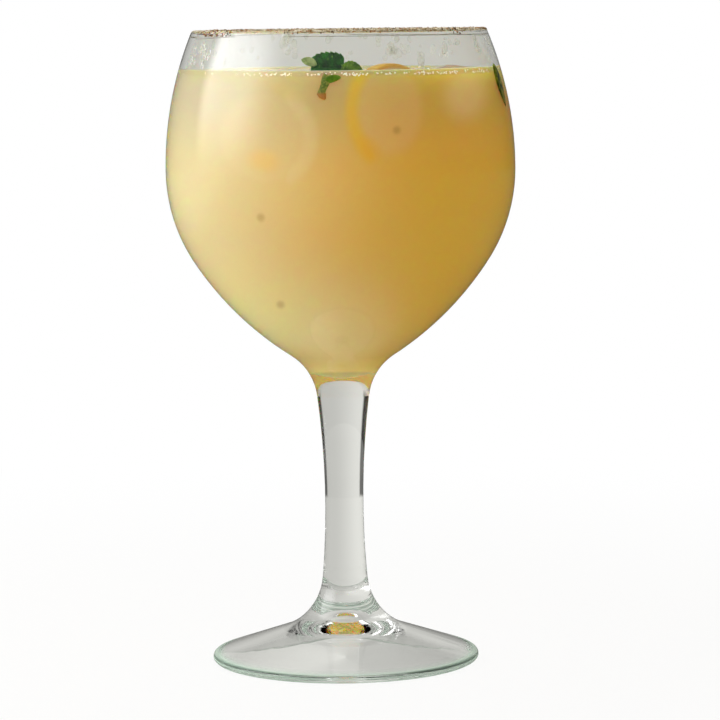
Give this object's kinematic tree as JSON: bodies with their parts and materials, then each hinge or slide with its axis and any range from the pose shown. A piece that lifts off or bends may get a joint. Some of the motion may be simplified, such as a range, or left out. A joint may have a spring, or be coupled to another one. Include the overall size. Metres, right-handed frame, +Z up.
{
  "type": "ginger lemonade in a goblet",
  "caption": "Stemmed balloon goblet filled with cloudy ginger lemonade, garnished with a lemon slice and mint, its rim crusted with spice.",
  "frame": {"origin": "centre of the plane that the foot stands on", "axes": "+Z up along the stem, -Y towards the viewer at the front, +X to the viewer's right"},
  "size_m": [0.107, 0.107, 0.195],
  "materials": {
    "glass": "clear soda-lime glass with a faint green edge, wet inside above the drink",
    "lemonade": "cloudy golden lemonade",
    "spice": "sugar grains with ground spice",
    "lemon": "wet lemon flesh and rind",
    "mint": "wet mint leaf"
  },
  "bodies": {
    "root": {"glass": "glass", "lemonade": "lemonade", "spice_rim": "spice", "lemon_slice": "lemon", "mint_sprig": "mint", "mint_leaf": "mint"}
  },
  "joints": []
}
